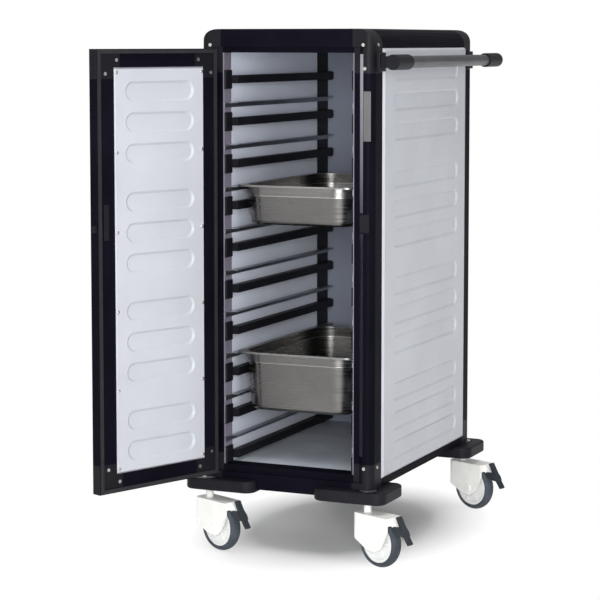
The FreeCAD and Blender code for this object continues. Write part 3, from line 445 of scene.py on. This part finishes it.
def turned(form, outline, place, axis, segments):
    """Adds a solid of revolution about an axis from place; outline is (radius, height) points."""
    turn = Vector((0, 0, 1)).rotation_difference(Vector(axis).normalized()).to_matrix().to_4x4()
    placed = Matrix.Translation(Vector(place)) @ turn
    rings = []
    for radius, height in outline:
        ring = []
        for step in range(segments):
            angle = 2 * math.pi * step / segments
            spot = Vector((radius * math.cos(angle), radius * math.sin(angle), height))
            ring.append(form.verts.new(placed @ spot))
        rings.append(ring)
    for low, high in zip(rings[:-1], rings[1:]):
        for step in range(segments):
            after = (step + 1) % segments
            form.faces.new((low[step], low[after], high[after], high[step]))
    form.faces.new(list(reversed(rings[0])))
    form.faces.new(rings[-1])


def slab(form, middle, size, turn=0.0):
    """Adds a box, turned about the upright through its middle."""
    place = Matrix.Translation(Vector(middle)) @ Matrix.Rotation(turn, 4, "Z")
    place = place @ Matrix.Diagonal((size[0], size[1], size[2], 1))
    bmesh.ops.create_cube(form, size=1.0, matrix=place)


# ---- bare plate on the right front post ----
PLATE_WIDTH = 0.019
PLATE_HEIGHT = 0.120
PLATE_THICK = 0.0012
PLATE_FROM_SIDE = 0.0155
PLATE_FROM_TOP = 0.103


def post_plate(finishes):
    """Bare plate, its middle measured from the post's outer side and top."""
    low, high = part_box("front_post_right")
    middle = (high.x - PLATE_FROM_SIDE, low.y - PLATE_THICK / 2, high.z - PLATE_FROM_TOP)
    size = (PLATE_WIDTH, PLATE_THICK, PLATE_HEIGHT)
    finished("post_plate", lambda form: slab(form, middle, size),
             finishes["plate"], "cabinet", rounding=0.0004)


# ---- strip carrying a painted highlight on the bevel of the door recess, which starts BEVEL_OUT in from the post's side ----
BEVEL_OUT = 0.026
BEVEL_WIDTH = 0.013
BEVEL_DEPTH = 0.012
TRIM_SHARE = 0.9
TRIM_THICK = 0.0008
TRIM_FOOT = 0.020
TRIM_GAP = 0.003


def recess_highlight_strip(finishes):
    """Thin metal strip that carries a painted highlight, above and below the latch keeper, over most of
    the bevel's width.
    """
    low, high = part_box("front_post_right")
    keeper_low, keeper_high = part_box("latch_keeper")
    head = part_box("top_rails")[0].z
    middle_x = high.x - BEVEL_OUT - BEVEL_WIDTH / 2
    middle_y = low.y + BEVEL_DEPTH / 2
    turn = -math.atan2(BEVEL_DEPTH, BEVEL_WIDTH)
    width = math.hypot(BEVEL_DEPTH, BEVEL_WIDTH) * TRIM_SHARE
    stretches = ((low.z + TRIM_FOOT, keeper_low.z - TRIM_GAP),
                 (keeper_high.z + TRIM_GAP, head - TRIM_GAP))

    def fill(form):
        for base, top in stretches:
            middle = (middle_x, middle_y, (base + top) / 2)
            slab(form, middle, (width, TRIM_THICK, top - base), turn)

    finished("recess_highlight_strip", fill, finishes["trim"], "cabinet", rounding=0.0003)


# ---- rivets of the door's inner skin, measured from the hinge line along and through the door ----
RIVET_REACHES = (0.0555, 0.3215)
RIVET_DEPTH = 0.033
RIVET_ROWS = 6
RIVET_FROM_END = 0.012
RIVET_DOME = ((0.0042, 0.0), (0.0040, 0.0008), (0.0030, 0.0016), (0.0012, 0.0020))


def door_directions():
    """The hinge line and two directions of the open door: along its width, and out of its inner face."""
    joint = next(j for j in frame["joints"] if j["name"] == "door_hinge")
    angle = math.radians(joint["range_deg"][0])
    along = Vector((math.cos(angle), math.sin(angle), 0))
    inward = Vector((-math.sin(angle), math.cos(angle), 0))
    return Vector(joint["pos_m"]), along, inward


def door_rivets(finishes):
    """Small domed rivets down both margins of the door's inner skin."""
    pivot, along, inward = door_directions()
    low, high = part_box("door_inner_skin")
    length = high.z - low.z - 2 * RIVET_FROM_END

    def fill(form):
        for reach in RIVET_REACHES:
            place = pivot + along * reach + inward * RIVET_DEPTH
            for row in range(RIVET_ROWS):
                z = low.z + RIVET_FROM_END + length * row / (RIVET_ROWS - 1)
                turned(form, RIVET_DOME, (place.x, place.y, z), inward, segments=16)

    finished("door_rivets", fill, finishes["zinc"], "door")


# ---- wheel caps, which stand on the web WEB_FACE out from the wheel's middle ----
WEB_FACE = 0.0090
CAP_RING = ((0.0430, 0.0002), (0.0426, 0.0020), (0.0410, 0.0026), (0.0396, 0.0008))
SPOKES = 6
SPOKE_RISE = 0.0024
SPOKE_ENDS = ((0.0158, 0.0050), (0.0405, 0.0032))
SPOKE_FACES = ((0, 1, 3, 2), (4, 6, 7, 5), (0, 4, 5, 1), (2, 3, 7, 6), (1, 5, 7, 3), (0, 2, 6, 4))


def add_spoke(form, centre, reach, across, out):
    """Adds one tapered spoke; each end is (distance from the wheel's axis, half its width)."""
    corners = []
    for length, half in SPOKE_ENDS:
        for side in (-1, 1):
            for height in (0.0, SPOKE_RISE):
                corner = centre + reach * length + across * (half * side) + out * height
                corners.append(form.verts.new(corner))
    for face in SPOKE_FACES:
        form.faces.new([corners[i] for i in face])


def add_cap(form, centre, axis, out):
    """Adds a ring and its spokes to one face of a wheel."""
    upright = Vector((0, 0, 1))
    level = axis.cross(upright)
    turned(form, CAP_RING, centre + out * WEB_FACE, out, segments=48)
    for spoke in range(SPOKES):
        angle = 2 * math.pi * spoke / SPOKES
        reach = level * math.cos(angle) + upright * math.sin(angle)
        add_spoke(form, centre + out * WEB_FACE, reach, axis.cross(reach), out)


def wheel_caps(finishes):
    """Shallow cap with low ribs on each face of every wheel."""
    for joint in [j for j in frame["joints"] if j["name"].startswith("wheel_spin_")]:
        wheel = joint["child"]
        axis = Vector(joint["axis"])
        centre = Vector(joint["pos_m"])

        def fill(form, axis=axis, centre=centre):
            add_cap(form, centre, axis, -axis)
            add_cap(form, centre, axis, axis)

        finished(wheel + "_spokes", fill, finishes["hub"], wheel, rounding=0.0005)


# ---- floor; the reach of its cast and painted shadow is counted in half sizes of the base with its margin ----
FLOOR_SIZE = 40.0
SHADOW_MARGIN = 0.13
SHADOW_NEAR = 0.70
SHADOW_FAR = 1.20


def distance_from_base(tree, place):
    """Distance from the middle of the cart's base, where 1 is the edge of an oval round it."""
    low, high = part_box("base_panel")
    middle = (low + high) / 2
    half = (high - low) / 2
    oval = tree.nodes.new("ShaderNodeMapping")
    oval.vector_type = "TEXTURE"
    oval.inputs["Location"].default_value = (middle.x, middle.y, 0)
    oval.inputs["Scale"].default_value = (half.x + SHADOW_MARGIN, half.y + SHADOW_MARGIN, 1)
    tree.links.new(place.outputs["Object"], oval.inputs["Vector"])
    length = tree.nodes.new("ShaderNodeVectorMath")
    length.operation = "LENGTH"
    tree.links.new(oval.outputs["Vector"], length.inputs[0])
    return length.outputs["Value"]


def make_floor():
    """Pale floor that keeps the cart's shadow, adds painted shadow by its darker colour in an oval round
    the base, and looks white further off.
    """
    bpy.ops.mesh.primitive_plane_add(size=FLOOR_SIZE, location=(0, 0, 0))
    floor = bpy.context.object
    floor.name = "floor"
    material, tree, main, place = shader("floor_pale", FLOOR_SHADE, roughness=0.6, gloss=0.1)
    tint(tree, main, noise(tree, place, scale=3.0), FLOOR_SHADE, darkest=0.99, lightest=1.01)
    white = tree.nodes.new("ShaderNodeEmission")
    share = tree.nodes.new("ShaderNodeMath")
    share.operation = "MULTIPLY"
    # painted shadow: the darker diffuse floor inside the oval, white emission outside
    far = spread(tree, distance_from_base(tree, place), 0.0, 1.0, SHADOW_NEAR, SHADOW_FAR)
    tree.links.new(far, share.inputs[0])
    tree.links.new(seen_by(tree, "Is Glossy Ray"), share.inputs[1])
    surface = tree.nodes["Material Output"].inputs["Surface"]
    join(tree, share.outputs["Value"], main.outputs["BSDF"], white.outputs["Emission"], surface)
    floor.data.materials.append(material)


# ---- light and camera ----
WORLD_LIGHT = 0.42
# name, place, the point it faces, width and height, watts
LAMPS = (
    ("key", (4.2, -2.2, 1.9), (0.0, 0.0, 0.7), (2.6, 2.6), 42.0),
    ("front", (1.8, -5.0, 1.3), (0.0, 0.0, 0.5), (2.4, 2.0), 205.0),
    ("top", (0.3, -0.6, 4.2), (0.0, 0.1, 0.0), (3.2, 3.2), 80.0),
    ("fill", (-2.2, -4.6, 1.6), (0.0, 0.0, 0.7), (2.0, 2.4), 20.0),
    ("back", (-3.4, 3.2, 2.2), (0.0, 0.0, 0.7), (2.4, 2.4), 70.0))


def make_world():
    """Soft even light; the camera sees white."""
    world = bpy.data.worlds.new("studio")
    bpy.context.scene.world = world
    world.use_nodes = True
    tree = world.node_tree
    light = tree.nodes["Background"]
    light.inputs["Color"].default_value = WORLD
    light.inputs["Strength"].default_value = WORLD_LIGHT
    white = tree.nodes.new("ShaderNodeBackground")
    white.inputs["Color"].default_value = WHITE
    white.inputs["Strength"].default_value = 1.0
    surface = tree.nodes["World Output"].inputs["Surface"]
    share = seen_by(tree, "Is Transmission Ray")
    join(tree, share, light.outputs["Background"], white.outputs["Background"], surface)


def make_lights():
    """Key from the right, front light into the cabin, top light, a weak fill and one lamp behind."""
    for name, place, aim, size, power in LAMPS:
        data = bpy.data.lights.new(name, "AREA")
        data.shape = "RECTANGLE"
        data.size, data.size_y = size
        data.energy = power
        lamp = bpy.data.objects.new(name, data)
        lamp.location = place
        lamp.rotation_mode = "QUATERNION"
        lamp.rotation_quaternion = (Vector(aim) - Vector(place)).to_track_quat("-Z", "Y")
        bpy.context.scene.collection.objects.link(lamp)


def make_camera():
    """Camera at the photograph's place."""
    data = bpy.data.cameras.new("camera")
    data.sensor_width = CAMERA_SENSOR
    data.lens = CAMERA_LENS
    data.shift_y = CAMERA_SHIFT
    data.clip_start, data.clip_end = CAMERA_CLIP
    camera = bpy.data.objects.new("camera", data)
    post_low, post_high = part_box("front_post_right")
    camera.location = Vector((post_high.x, post_low.y, 0)) + Vector(CAMERA_FROM_CORNER)
    camera.rotation_mode = "XYZ"
    camera.rotation_euler = (math.radians(90.0 - CAMERA_PITCH), 0.0, math.radians(CAMERA_YAW))
    bpy.context.scene.collection.objects.link(camera)
    bpy.context.scene.camera = camera


bpy.context.scene.view_settings.view_transform = "Standard"
make_camera()
make_world()
make_lights()
make_floor()
finishes = materials()
dress(finishes)
post_plate(finishes)
recess_highlight_strip(finishes)
door_rivets(finishes)
wheel_caps(finishes)
